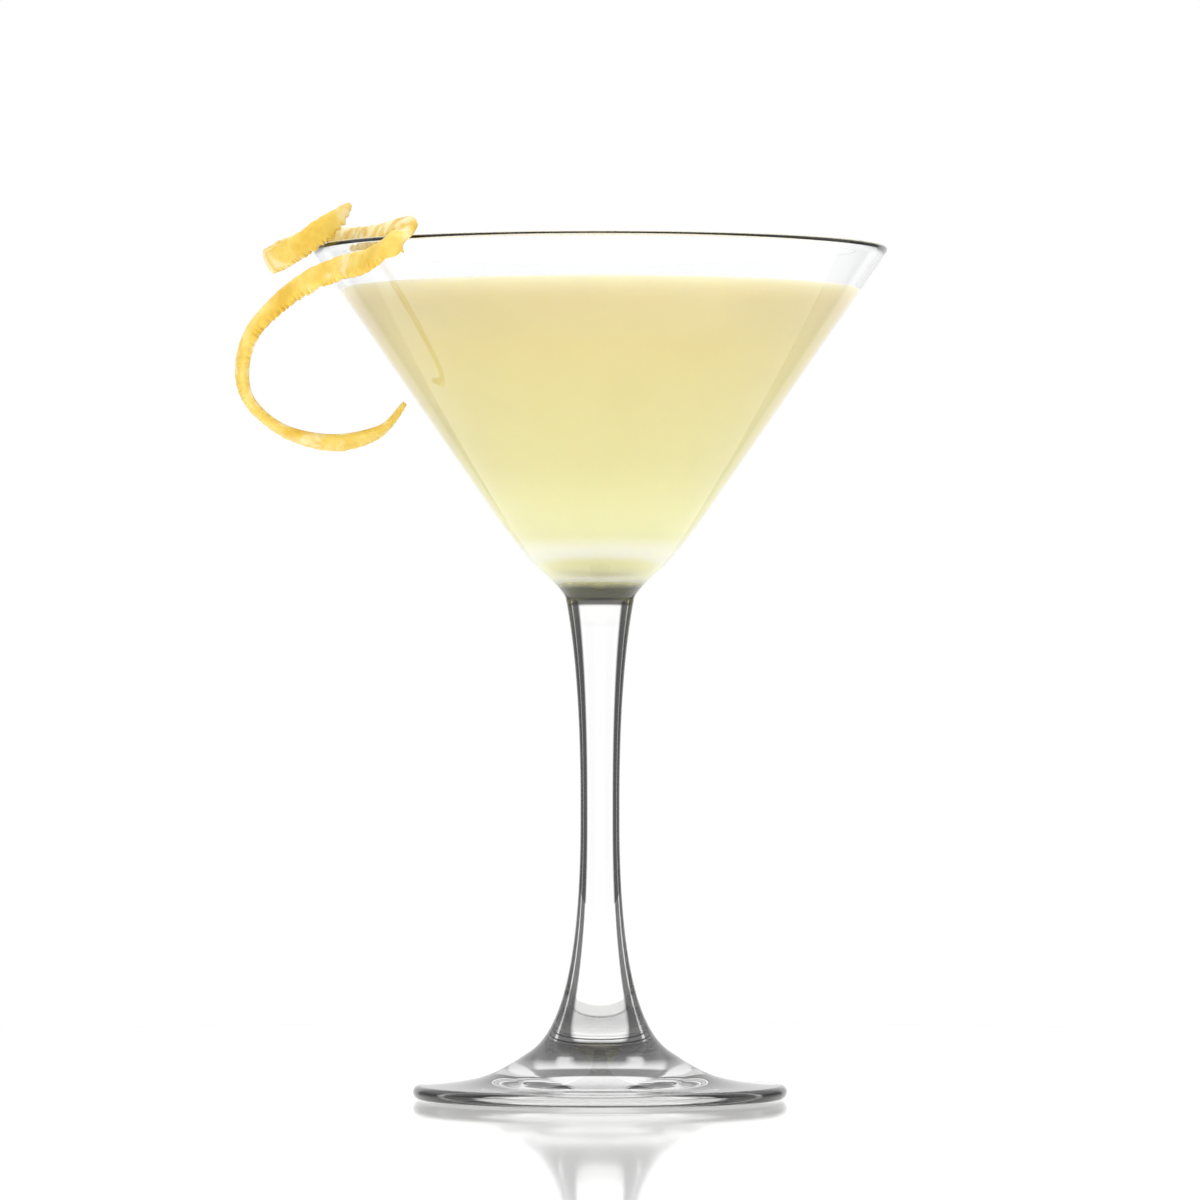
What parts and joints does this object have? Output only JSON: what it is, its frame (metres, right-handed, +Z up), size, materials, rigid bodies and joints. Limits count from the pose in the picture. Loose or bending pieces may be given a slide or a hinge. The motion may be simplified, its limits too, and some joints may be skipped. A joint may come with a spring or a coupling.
{
  "type": "martini cocktail",
  "caption": "Martini in a stemmed cone-shaped glass, filled nearly to the brim with cloudy pale yellow drink, with a curling twist of lemon peel hooked over the rim",
  "frame": {"origin": "middle of the foot's underside, on the table", "axes": "+Z up along the stem, -Y towards the viewer, -X towards the side where the twist hangs"},
  "size_m": [0.1336, 0.1182, 0.1829],
  "materials": {
    "clear_glass": "clear, fire-polished",
    "pale_drink": "cloudy pale yellow liquid",
    "lemon_peel": "waxy, finely pored"
  },
  "bodies": {
    "root": {"glass": "clear_glass", "drink": "pale_drink", "lemon_twist": "lemon_peel"}
  },
  "joints": []
}
